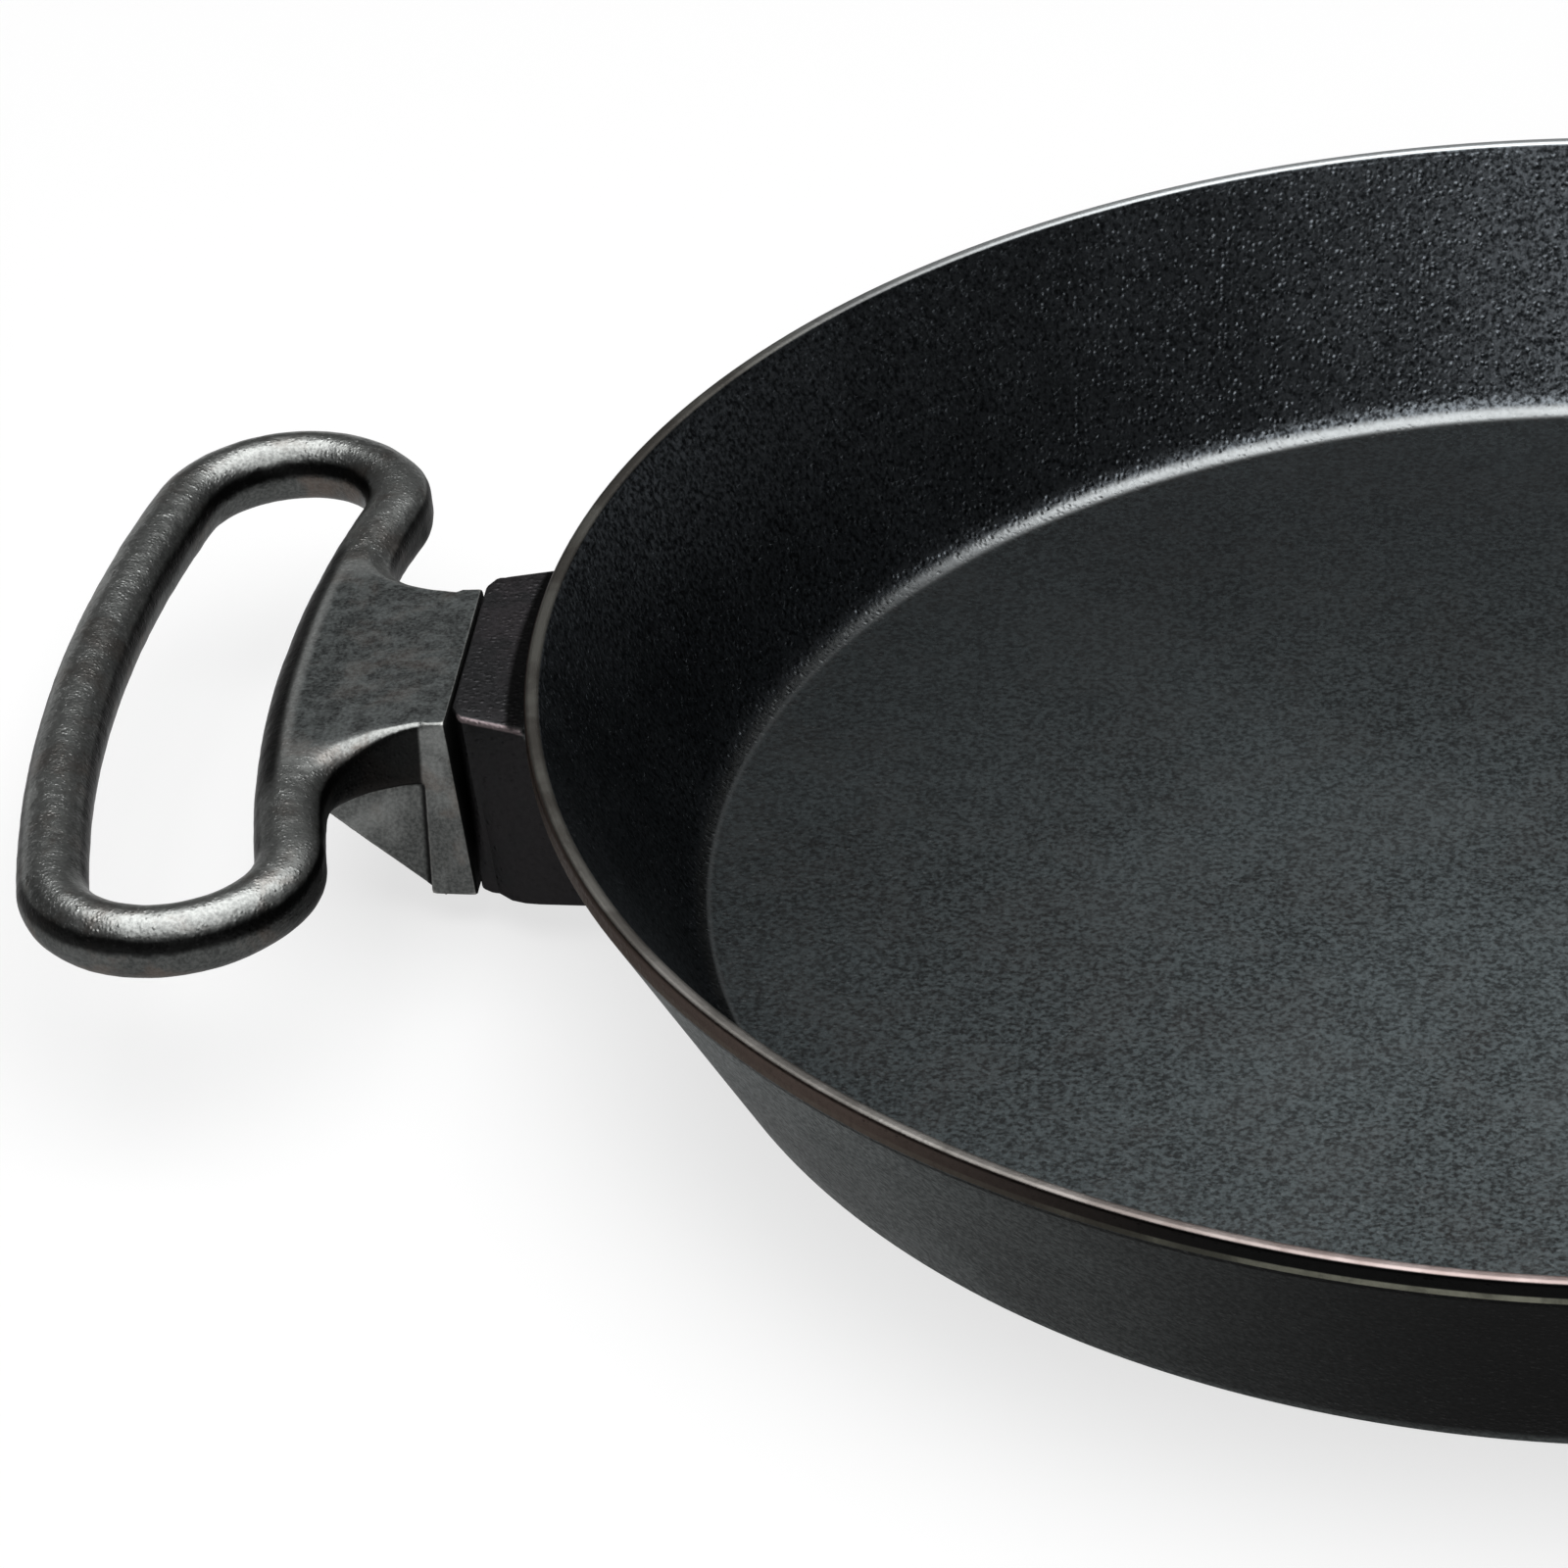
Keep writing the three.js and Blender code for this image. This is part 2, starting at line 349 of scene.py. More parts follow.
def shallowDentsGroup():
    # Shallow dents of a few millimetres
    tree, entry, leave = startGroup("shallowDents", {"Size": 6.0}, ["Height"])
    dents = sizedNoise(tree, entry["Size"], "TexNoise", **effects["dents"])["Fac"]
    tree.links.new(dents, leave["Height"])
    return tree


def rubbedEdgeGroup():
    # Where hands and tables have rubbed outer edges
    tree, entry, leave = startGroup("rubbedEdge", {"Start": 0.52, "Full": 0.6}, ["Mask"])
    edge = addNode(tree, "NewGeometry").outputs["Pointiness"]
    tree.links.new(ramp(tree, edge, entry["Start"], entry["Full"]), leave["Mask"])
    return tree


sandGrain = sandGrainGroup()
uneven = unevenGroup()
shallowDents = shallowDentsGroup()
rubbedEdge = rubbedEdgeGroup()


# Pan body: a turned bowl with a cast lug on each side

pan = {
    "rimRadius": 230.0, "baseRadius": 199.5, "height": 58.5, "rimBand": 4.5, "wall": 4.8, "floor": 5.0,
    "floorFillet": 9.0, "baseEdge": 1.5, "bandRound": 1.2, "rimEdge": 1.3, "lipRound": 1.5,
    "steps": 288, "arcSteps": 10, "longestStraight": 14.0, "support": 0.5, "sharpAngle": 32,
}
pan["wallSlope"] = (pan["rimRadius"] - pan["baseRadius"]) / (pan["height"] - pan["rimBand"])
pan["wallAcross"] = pan["wall"] * math.hypot(1, pan["wallSlope"])
lug = {
    "top": 51.9, "seatTopX": 244.2, "lean": math.radians(6.3),
    "noseHalf": 29.6, "flare": 3.9, "flareFrom": 241.0, "flareOver": 12.0,
    "sideRound": 4.5, "topRound": 1.0, "footRound": 3.5, "cornerSteps": 5, "straightSteps": 12,
    "sideRows": 10, "roundRows": 7, "sink": 2.0, "sinkAside": 0.3, "clear": 0.05,
    # Rows over the nose: back from the seat, half width, foot, top, corner
    "nose": [
        (0.0, 24.8, 9.7, 51.1, 1.0), (0.12, 25.3, 9.4, 51.6, 1.0), (0.45, 26.0, 9.2, 51.85, 1.1),
        (1.9, 28.9, 8.9, 51.9, 1.2), (2.6, 29.5, 8.8, 51.9, 1.3), (3.6, 29.6, 8.7, 51.9, 1.3),
    ],
    # The nose's bevelled sides run out towards its foot
    "squareFrom": 28.0, "squareOver": 17.0, "squareShare": 0.78,
}
tenonSocket = {
    "end": 230.1, "half": 16.3, "foot": 12.7, "top": 31.3, "past": 4.0,
    "holeRadius": 5.3, "holeEnd": 220.1, "holeHeight": 22.0, "holeOverlap": 2.0, "holeSteps": 48,
}
panFinish = {
    "floorDark": rgb(0.012, 0.0135, 0.014), "floorLight": rgb(0.116, 0.138, 0.144),
    "floorBrown": rgb(0.065, 0.057, 0.054), "floorWeights": (0.7, 0.18), "floorStain": 0.1,
    "lightPoolPlace": (40.0, -120.0), "lightPoolLeast": 0.2,
    "fillet": rgb(0.30, 0.315, 0.32), "filletShares": (0.2, 0.9),
    "wallDark": rgb(0.017, 0.019, 0.021), "wallLight": rgb(0.120, 0.133, 0.145),
    "outside": rgb(0.012, 0.012, 0.012), "outsideSmearSheen": rgb(0.150, 0.165, 0.165),
    "smearSheenGrain": (0.5, 0.4), "smearSheenBroad": (0.4, 0.6), "baseShares": (0.0, 0.75),
    "paintedShade": rgb(0.006, 0.006, 0.006), "cornerShade": 0.95, "underBandShade": 0.8,
    "lug": rgb(0.046, 0.046, 0.048), "lugBrown": rgb(0.055, 0.051, 0.054), "lugSides": (0.9, 0.4, 0.0, 0.75),
    "lugEdge": rgb(0.42, 0.34, 0.35), "lugEdgeFacing": (0.98, 0.86), "lugEdgeShare": 0.5,
    "rimDark": rgb(0.050, 0.043, 0.039), "rimTan": rgb(0.150, 0.147, 0.133), "rimPatches": (0.6, 0.4),
    "rimPink": rgb(0.25, 0.185, 0.17), "rimBareHighlight": rgb(0.46, 0.38, 0.365),
    "rimGrey": rgb(0.25, 0.238, 0.225), "rimFar": rgb(0.60, 0.63, 0.64),
    "bandBrown": rgb(0.058, 0.044, 0.038), "bandHighlightLine": rgb(0.17, 0.17, 0.135), "bandHighlightShares": (0.9, 0.1),
    "broad": {"Size": 95.0, "Low": 0.36, "High": 0.66}, "stain": {"Size": 26.0, "Low": 0.44, "High": 0.6},
    "rough": (0.35, 0.26), "roughStain": 0.04, "roughWall": 0.04, "roughOutside": 0.10, "roughRim": 0.46,
    "grainSize": 1.15, "grainBump": 0.25, "edgeTint": rgb(0.5, 0.5, 0.5),
    "bumpFloor": 0.4, "bumpWall": 0.8, "bumpOutside": 0.7, "bumpRim": 0.12,
}
panZones = {
    # Past the wall's outer face
    "outside": (-2.2, -1.2), "onLug": (1.6, 3.0),
    # By height
    "underBase": (3.0, 2.0), "baseSmear": (4.0, 0.8), "seasoned": (5.6, 5.1), "polished": (5.1, 5.5),
    "onWall": (5.9, 7.2), "lugEdgeHeight": (50.6, 51.2), "cornerHeight": (51.0, 51.7),
    "underBand": (52.3, 52.9), "bandFoot": (53.9, 53.6), "band": (53.8, 54.0), "bandHighlightLine": (55.4, 55.0),
    "onRim": (56.9, 57.5), "rimTop": (58.0, 58.25),
    # By radius, and by distance from the middle of the painted pool of light
    "bandOut": (228.8, 229.2), "rimInner": (229.8, 229.4),
    "cornerIn": (230.0, 230.3), "cornerOut": (234.8, 233.4), "lightPool": (310.0, 50.0),
    # Away from the middle along X or Y
    "polishShadeSide": (186.0, 120.0), "smearSheenSide": (10.0, 200.0), "middle": (130.0, 10.0),
    "lugEdgeSide": (27.0, 28.2),
    # Along Y, below zero towards the front
    "bandFront": (-170.0, -222.0), "front": (-60.0, -160.0), "greyFront": (-70.0, -170.0),
    "farRim": (100.0, 210.0),
}


def panIron():
    finish = panFinish
    material, tree, shader = startMaterial("panIron", Specular_Tint=finish["edgeTint"])
    zone = zonesIn(tree, panZones)
    spot, (x, y, z) = place(tree)
    sideX, sideY = calc(tree, "ABSOLUTE", x), calc(tree, "ABSOLUTE", y)
    flat = calc(tree, "SQRT", calc(tree, "ADD", times(tree, x, x), times(tree, y, y)))
    wall = lifted(tree, z, pan["wallSlope"], pan["baseRadius"] * mm)
    beyondWall = calc(tree, "SUBTRACT", flat, wall)
    outside = calc(tree, "MAXIMUM", zone(beyondWall, "outside"), zone(z, "underBase"))
    onLug = zone(beyondWall, "onLug")
    onWall = zone(z, "onWall")

    grain = useGroup(tree, sandGrain, Size=finish["grainSize"])
    broad = useGroup(tree, uneven, **finish["broad"])["Mask"]
    stain = useGroup(tree, uneven, **finish["stain"])["Mask"]

    # Inside: a seasoned floor with a painted pool of light towards the front and painted shade away from it,
    # and a polished corner at the wall's foot
    tone = weighed(tree, grain["Tone"], broad, finish["floorWeights"])
    inner = mixColours(tree, tone, finish["floorDark"], finish["floorLight"])
    inner = mixColours(tree, times(tree, stain, finish["floorStain"]), inner, finish["floorBrown"])
    # Painted light and shade: the floor keeps its tone near a spot towards the front and is painted darker
    # further away
    poolX, poolY = finish["lightPoolPlace"]
    away = addNode(tree, "VectorMath", {0: spot, 1: (poolX * mm, poolY * mm, 0)}, operation="DISTANCE")
    lightPool = zone(away.outputs["Value"], "lightPool", finish["lightPoolLeast"])
    inner = mixColours(tree, lightPool, rgb(0, 0, 0), inner)
    # The polished corner is painted duller towards the left and right, as painted shade
    polished = times(tree, zone(z, "polished"), zone(sideX, "polishShadeSide", *finish["filletShares"]))
    inner = mixColours(tree, polished, inner, finish["fillet"])
    wallTone = mixColours(tree, grain["Tone"], finish["wallDark"], finish["wallLight"])
    inner = mixColours(tree, onWall, inner, wallTone)
    seasoned = times(tree, zone(z, "seasoned"), opposite(tree, outside))
    tree.links.new(opposite(tree, seasoned), shader["Metallic"])

    # Outside wall with smears and painted reflection, and lugs with painted shade on their sides and in the
    # corner under the rim
    # Smears and painted reflection: the outside wall is painted lighter towards the left and right, with
    # smears near its foot
    smearSheen = calc(tree, "MAXIMUM", zone(sideX, "smearSheenSide"), zone(z, "baseSmear", *finish["baseShares"]))
    smearSheen = times(tree, smearSheen, lifted(tree, grain["Tone"], *finish["smearSheenGrain"]),
                  lifted(tree, broad, *finish["smearSheenBroad"]))
    outer = mixColours(tree, smearSheen, finish["outside"], finish["outsideSmearSheen"])
    facing = upFacing(tree)
    lugTone = mixColours(tree, stain, finish["lug"], finish["lugBrown"])
    # Painted shade: the lug's sides are painted darker than its top
    lugTone = mixColours(tree, ramp(tree, facing, *finish["lugSides"]), lugTone, finish["paintedShade"])
    outer = mixColours(tree, onLug, outer, lugTone)
    # A pale line along the lug's top edges: worn edge and painted highlight
    edge = times(tree, zone(z, "lugEdgeHeight"), ramp(tree, facing, *finish["lugEdgeFacing"]),
                 zone(sideY, "lugEdgeSide"), times(tree, onLug, finish["lugEdgeShare"]))
    outer = mixColours(tree, edge, outer, finish["lugEdge"])
    # Painted shade in the corner between the lug's top and the rim
    corner = times(tree, zone(flat, "cornerOut"), zone(z, "cornerHeight"), zone(flat, "cornerIn"))
    outer = mixColours(tree, times(tree, corner, finish["cornerShade"]), outer, finish["paintedShade"])
    colour = mixColours(tree, outside, inner, outer)

    # Rim: bare metal on top with painted highlight on the far side and at the front, and a brown band painted
    # black towards the front as painted shade, with a painted highlight line at its foot
    patchy = lifted(tree, stain, *finish["rimPatches"])
    middle = zone(sideX, "middle")
    # Painted shade: the band goes from brown to black towards the front
    bandTone = mixColours(tree, zone(y, "bandFront"), finish["bandBrown"], finish["paintedShade"])
    # Painted highlight: a pale line at the band's foot
    bandHighlightLine = times(tree, zone(z, "bandHighlightLine"), lifted(tree, middle, *finish["bandHighlightShares"]), patchy)
    bandTone = mixColours(tree, bandHighlightLine, bandTone, finish["bandHighlightLine"])
    colour = mixColours(tree, times(tree, zone(z, "band"), zone(flat, "bandOut")), colour, bandTone)
    # Painted shade: a dark line on the outside wall just under the rim's band
    under = times(tree, zone(z, "underBand"), zone(z, "bandFoot"), calc(tree, "SUBTRACT", outside, onLug))
    colour = mixColours(tree, times(tree, under, finish["underBandShade"]), colour, finish["paintedShade"])
    onTop = times(tree, zone(z, "rimTop"), zone(flat, "rimInner"))
    rim = mixColours(tree, patchy, finish["rimDark"], finish["rimTan"])
    # Worn bare metal and painted highlight: the rim's top is greyer towards the front, bright on the far side
    # and pale at the front's middle
    rim = mixColours(tree, times(tree, patchy, zone(y, "greyFront")), rim, finish["rimGrey"])
    rim = mixColours(tree, zone(y, "farRim"), rim, finish["rimFar"])
    bareHighlight = mixColours(tree, patchy, finish["rimPink"], finish["rimBareHighlight"])
    rim = mixColours(tree, times(tree, middle, zone(y, "front")), rim, bareHighlight)
    colour = mixColours(tree, onTop, colour, rim)
    tree.links.new(colour, shader["Base Color"])

    rough = ramp(tree, grain["Tone"], 0.0, 1.0, *finish["rough"])
    for mask, label in ((stain, "roughStain"), (onWall, "roughWall"), (outside, "roughOutside")):
        rough = calc(tree, "ADD", rough, times(tree, mask, finish[label]))
    tree.links.new(mixValues(tree, onTop, rough, finish["roughRim"]), shader["Roughness"])
    strength = finish["bumpFloor"]
    for mask, label in ((onWall, "bumpWall"), (outside, "bumpOutside"), (zone(z, "onRim"), "bumpRim")):
        strength = mixValues(tree, mask, strength, finish[label])
    height = times(tree, grain["Height"], strength)
    bump = addNode(tree, "Bump", {"Height": height, "Strength": 1.0, "Distance": finish["grainBump"] * mm})
    tree.links.new(bump.outputs["Normal"], shader["Normal"])
    return material


def wallRadius(z):
    return pan["baseRadius"] + z * pan["wallSlope"]


def wallX(y, z):
    return math.sqrt(wallRadius(z) ** 2 - y * y)


def seatX(z):
    return lug["seatTopX"] - (lug["top"] - z) * math.tan(lug["lean"])


def lugOutline(half, foot, top, corner):
    # Rounded box in Y and Z with the same number of points for any size
    box = [(half, foot, corner), (half, top, corner), (-half, top, corner), (-half, foot, corner)]
    steps, cuts = lug["cornerSteps"], lug["straightSteps"]
    arcs = roundedOutline(box, steps)
    outline = []
    for index, point in enumerate(arcs):
        outline.append(point)
        after = arcs[(index + 1) % len(arcs)]
        if index % (steps + 1) == steps:
            outline += [point.lerp(after, step / cuts) for step in range(1, cuts)]
    return outline


def lugObject(name):
    rings = []
    for back, half, foot, top, corner in lug["nose"]:
        wider = (lug["noseHalf"] / half - 1) * lug["squareShare"]
        ring = []
        for y, z in lugOutline(half, foot, top, corner):
            square = clamp((lug["squareFrom"] - z) / lug["squareOver"])
            ring.append((seatX(z) - back, y * (1 + wider * square), z))
        rings.append(ring)
    back, half, foot, top, corner = lug["nose"][-1]
    outline = lugOutline(half, foot, top, corner)
    count = len(outline)
    rounds, outward = [], []
    for index, point in enumerate(outline):
        along = outline[(index + 1) % count] - outline[index - 1]
        normal = Vector((along.y, -along.x)).normalized()
        if normal.dot(point - Vector((0, (foot + top) / 2))) < 0:
            normal.negate()
        upright = lug["topRound"] if normal.y > 0 else lug["footRound"]
        rounds.append(lug["sideRound"] * normal.x ** 2 + upright * normal.y ** 2)
        outward.append(normal)

    def flared(x, y):
        return y * (1 + clamp((lug["flareFrom"] - x) / lug["flareOver"]) * lug["flare"] / half)

    # Sides of the lug, back to where the round at the wall starts
    for row in range(1, lug["sideRows"] + 1):
        ring = []
        for (y, z), radius in zip(outline, rounds):
            start = seatX(z) - back
            x = start + (wallX(flared(0, y), z) + radius - start) * row / lug["sideRows"]
            ring.append((x, flared(x, y), z))
        rings.append(ring)
    # The round, and one last row sunk into the wall
    for row in range(1, lug["roundRows"] + 2):
        turn = min(row / lug["roundRows"], 1) * math.pi / 2
        sunk = row > lug["roundRows"]
        ring = []
        for (y, z), radius, normal in zip(outline, rounds, outward):
            aside = radius * (1 - math.cos(turn)) + (lug["sinkAside"] if sunk else 0)
            spot = Vector((flared(0, y), z)) + normal * aside
            above = -lug["sink"] if sunk else radius * (1 - math.sin(turn)) + lug["clear"]
            ring.append((wallX(*spot) + above, *spot))
        rings.append(ring)
    return faceOutward(makeObject(name, *joinRings(rings)))


def socketCutter(name):
    # A box from the socket's end to past the lug's seat
    foot, top, half = tenonSocket["foot"], tenonSocket["top"], tenonSocket["half"]
    end, mouth = tenonSocket["end"], lug["seatTopX"] + tenonSocket["past"]
    corners = [(end, foot), (mouth, foot), (mouth, top), (end, top)]
    rings = [[(x, y, z) for x, z in corners] for y in (-half, half)]
    return faceOutward(makeObject(name, *joinRings(rings)))


def boltHoleCutter(name):
    radius, height, steps = tenonSocket["holeRadius"], tenonSocket["holeHeight"], tenonSocket["holeSteps"]
    rings = []
    for x in (tenonSocket["holeEnd"], tenonSocket["end"] + tenonSocket["holeOverlap"]):
        turns = [2 * math.pi * step / steps for step in range(steps)]
        rings.append([(x, radius * math.cos(turn), height + radius * math.sin(turn)) for turn in turns])
    return faceOutward(makeObject(name, *joinRings(rings)))


def panBody():
    across = pan["wallAcross"]
    corners = [
        (0, 0, 0), (pan["baseRadius"], 0, pan["baseEdge"]),
        (pan["rimRadius"], pan["height"] - pan["rimBand"], pan["bandRound"]),
        (pan["rimRadius"], pan["height"], pan["rimEdge"]),
        (wallRadius(pan["height"]) - across, pan["height"], pan["lipRound"]),
        (wallRadius(pan["floor"]) - across, pan["floor"], pan["floorFillet"]), (0, pan["floor"], 0),
    ]
    outline = roundedOutline(corners, pan["arcSteps"])
    profile = splitStraights(outline, pan["longestStraight"], pan["support"])
    made = turnProfile("panBody", profile, pan["steps"])
    for side in ("right", "left"):
        for shape, operation in (
            (lugObject(side + "LugShape"), "UNION"), (socketCutter(side + "SocketShape"), "DIFFERENCE"),
            (boltHoleCutter(side + "HoleShape"), "DIFFERENCE"),
        ):
            if side == "left":
                swingToLeft(shape)
            combine(made, shape, operation)
    return smoothShade(made, pan["sharpAngle"])


panMetal = panIron()
body = wear(panBody(), panMetal)
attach(body, "pan")
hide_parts("pan_body")
print("pan body", len(body.data.polygons), "faces")


# Handles: one casting with a round bar bent into a loop, a flat neck, a flange, two gusset cheeks and a tenon

handle = {
    "bar": 7.4, "bow": 400.0, "reach": 97.4, "width": 48.8, "endHalf": 73.5, "tilt": math.radians(3.5),
    "neckHeight": 42.2, "neckHalf": 27.0, "neckFillet": 25.0, "neckSink": 2.0, "neckEdge": 1.6,
    "neckRun": 22.0, "neckBlend": 3.0, "neckInset": 3.0,
    "seam": 1.4, "flangeBack": 250.6, "flangeTop": 50.2, "flangeFoot": 7.4, "flangeHalf": 28.0,
    "flangeEdge": 0.7, "flangeProud": 0.06, "flangeOverlap": 3.0, "seatClear": 1.0,
    "cheekOut": 25.5, "cheekIn": 18.5, "cheekTip": 280.6, "cheekShort": 4.0,
    "cheekEdge": 1.0, "cheekBlend": 3.0,
    "tenonEnd": 230.4, "tenonHalf": 16.0, "tenonFoot": 13.0, "tenonTop": 31.0, "tenonEdge": 0.6,
    "tenonOverlap": 1.0, "boltHole": 5.6, "boltHeight": 22.0,
    # The box that is meshed, the size of its cells, and how its points settle on the surface
    "boxLow": (229, -108, 5), "boxHigh": (337, 108, 53), "cell": 0.75,
    "settleRounds": 3, "nudge": 0.02, "leastSlope": 0.25,
}
castSurface = {
    "swellSize": 24.0, "swell": 0.12, "dentSize": 5.0, "dent": 0.07,
    "fall": 0.6, "lacunarity": 2.0, "octaves": 2,
}
handleFinish = {
    "dark": rgb(0.040, 0.042, 0.041), "light": rgb(0.520, 0.535, 0.520),
    "raised": (0.35, 0.8), "raisedShare": 0.22, "crown": (0.76, 0.97), "crownShares": (0.3, 0.04),
    "speckle": (0.22, 0.14), "calm": (0.1, 0.2), "calmLift": 0.02, "sideSpeckle": 0.35,
    "neckDark": rgb(0.008, 0.009, 0.009), "neckLight": rgb(0.080, 0.088, 0.087), "neckFacing": (0.93, 0.985),
    "neckDents": (0.4, 0.62), "neckWeights": (0.55, 0.4),
    "brown": rgb(0.15, 0.112, 0.092), "brownShares": (0.4, 0.12),
    "rubbed": rgb(0.60, 0.59, 0.56), "rubShare": 0.5, "rub": {"Start": 0.53, "Full": 0.6},
    "paintedShade": rgb(0.006, 0.006, 0.006), "flankLow": (0.02, 0.25), "flankHigh": (0.68, 0.48), "flankShade": 0.92,
    "holeShade": 0.88, "creviceShade": 0.95, "seatShade": 0.95,
    "broad": {"Size": 34.0, "Low": 0.4, "High": 0.62}, "stain": {"Size": 15.0, "Low": 0.5, "High": 0.66},
    "rough": (0.1, 0.8, 0.38, 0.32), "roughNeck": 0.07, "roughSeat": 0.9,
    "grainSize": 0.8, "grainBump": 0.12, "grainStrength": 0.7,
    "dentSize": 3.6, "dentBump": 0.36, "dentStrength": 0.6, "dentShares": (1.0, 0.3),
    "edgeTint": rgb(0.6, 0.6, 0.6),
}
handleZones = {
    # Above the sloping neck's middle, and past the face that meets the lug
    "onCheek": (-7.0, -8.2), "seatOut": (0.55, 0.3), "seatIn": (-1.2, -0.6),
    # Along X, from the pan's axis
    "onFlange": (251.4, 250.5), "crevice": (252.4, 251.2), "onNeck": (276.0, 262.0),
    # The same along the bowed bar
    "neckEnd": (281.5, 277.5), "holeStart": (279.6, 281.8), "holeEnd": (300.0, 296.0),
    # Away from the middle along Y
    "neckSide": (46.0, 32.0), "holeSide": (56.0, 44.0), "creviceSide": (26.6, 25.8),
}


def handleIron():
    finish = handleFinish
    material, tree, shader = startMaterial("handleIron", Specular_Tint=finish["edgeTint"])
    zone = zonesIn(tree, handleZones)
    grain = useGroup(tree, sandGrain, Size=finish["grainSize"])
    dents = useGroup(tree, shallowDents, Size=finish["dentSize"])["Height"]
    broad = useGroup(tree, uneven, **finish["broad"])["Mask"]
    stain = useGroup(tree, uneven, **finish["stain"])["Mask"]
    rub = useGroup(tree, rubbedEdge, **finish["rub"])["Mask"]
    _, (x, y, z) = place(tree)
    reach, aside = calc(tree, "ABSOLUTE", x), calc(tree, "ABSOLUTE", y)
    facing = upFacing(tree)
    rise = times(tree, calc(tree, "SUBTRACT", reach, lug["seatTopX"] * mm), math.sin(handle["tilt"]))
    rise = calc(tree, "ADD", rise, calc(tree, "SUBTRACT", z, handle["neckHeight"] * mm))
    onCheek = zone(rise, "onCheek")
    onNeck = zone(reach, "onNeck")
    fitting = calc(tree, "MAXIMUM", onCheek, zone(reach, "onFlange"))

    # The loop's upper side is bright from hand wear and painted sheen, and its sides are painted dark as
    # painted shade
    raised = ramp(tree, facing, *finish["raised"])
    crown = times(tree, ramp(tree, facing, *finish["crown"]), mixValues(tree, onNeck, *finish["crownShares"]))
    upper = calc(tree, "ADD", times(tree, raised, finish["raisedShare"]), crown)
    speckle = weighed(tree, grain["Tone"], broad, finish["speckle"])
    calm = calc(tree, "ADD", weighed(tree, grain["Tone"], broad, finish["calm"]), finish["calmLift"])
    side = mixValues(tree, fitting, times(tree, speckle, finish["sideSpeckle"]), calm)
    tone = calc(tree, "ADD", mixValues(tree, raised, side, speckle), upper)
    colour = mixColours(tree, tone, finish["dark"], finish["light"])

    # The neck's top is seasoned black, mottled by its dents
    bowed = calc(tree, "ADD", reach, calc(tree, "DIVIDE", times(tree, y, y), 2 * handle["bow"] * mm))
    neckTop = times(tree, zone(bowed, "neckEnd"), zone(aside, "neckSide"))
    seasoned = times(tree, neckTop, ramp(tree, facing, *finish["neckFacing"]))
    mottled = weighed(tree, grain["Tone"], ramp(tree, dents, *finish["neckDents"]), finish["neckWeights"])
    neckTone = mixColours(tree, mottled, finish["neckDark"], finish["neckLight"])
    colour = mixColours(tree, seasoned, colour, neckTone)
    tree.links.new(opposite(tree, seasoned), shader["Metallic"])
    brownShare = times(tree, stain, mixValues(tree, seasoned, *finish["brownShares"]))
    colour = mixColours(tree, brownShare, colour, finish["brown"])

    # Painted shade on the bar's flanks and the neck's side of the finger hole, then rubbed edges
    flank = mixValues(tree, onNeck, ramp(tree, facing, *finish["flankLow"]), 1.0)
    flankShade = calc(tree, "SUBTRACT", finish["flankShade"], times(tree, fitting, finish["flankShade"]))
    flank = times(tree, flank, ramp(tree, facing, *finish["flankHigh"]), flankShade)
    colour = mixColours(tree, flank, colour, finish["paintedShade"])
    holeSide = times(tree, zone(bowed, "holeStart"), zone(bowed, "holeEnd"), zone(aside, "holeSide"))
    colour = mixColours(tree, times(tree, holeSide, finish["holeShade"]), colour, finish["paintedShade"])
    colour = mixColours(tree, times(tree, rub, finish["rubShare"]), colour, finish["rubbed"])

    # Painted shade where the cheeks meet the flange, and on the face that meets the lug
    crevice = times(tree, onCheek, zone(reach, "crevice"), zone(aside, "creviceSide"))
    colour = mixColours(tree, times(tree, crevice, finish["creviceShade"]), colour, finish["paintedShade"])
    seatAt = lug["seatTopX"] - lug["top"] * math.tan(lug["lean"]) + handle["seam"]
    offSeat = calc(tree, "SUBTRACT", reach, times(tree, z, math.tan(lug["lean"])))
    offSeat = calc(tree, "SUBTRACT", offSeat, seatAt * mm)
    seatFace = times(tree, zone(offSeat, "seatOut"), zone(offSeat, "seatIn"))
    colour = mixColours(tree, times(tree, seatFace, finish["seatShade"]), colour, finish["paintedShade"])
    tree.links.new(colour, shader["Base Color"])

    rough = ramp(tree, tone, *finish["rough"])
    rough = calc(tree, "ADD", rough, times(tree, onNeck, finish["roughNeck"]))
    tree.links.new(mixValues(tree, seatFace, rough, finish["roughSeat"]), shader["Roughness"])
    dents = times(tree, dents, mixValues(tree, onNeck, *finish["dentShares"]))
    dentBump = addNode(tree, "Bump", {
        "Height": dents, "Strength": finish["dentStrength"], "Distance": finish["dentBump"] * mm,
    })
    bump = addNode(tree, "Bump", {
        "Height": grain["Height"], "Strength": finish["grainStrength"], "Distance": finish["grainBump"] * mm,
        "Normal": dentBump.outputs["Normal"],
    })
    tree.links.new(bump.outputs["Normal"], shader["Normal"])
    return material


def softUnion(first, second, blend):
    # Joins two distances with a rounded inside corner
    share = np.clip(0.5 + 0.5 * (second - first) / blend, 0, 1)
    return second + (first - second) * share - blend * share * (1 - share)


def roundedBox(edge, *sides):
    # Distance to a box with rounded edges, from the distances to its pairs of faces
    past = [side + edge for side in sides]
    outside = np.sqrt(sum(np.maximum(part, 0) ** 2 for part in past))
    return outside + np.minimum(np.maximum.reduce(past), 0) - edge


def between(value, low, high):
    return np.abs(value - (low + high) / 2) - (high - low) / 2


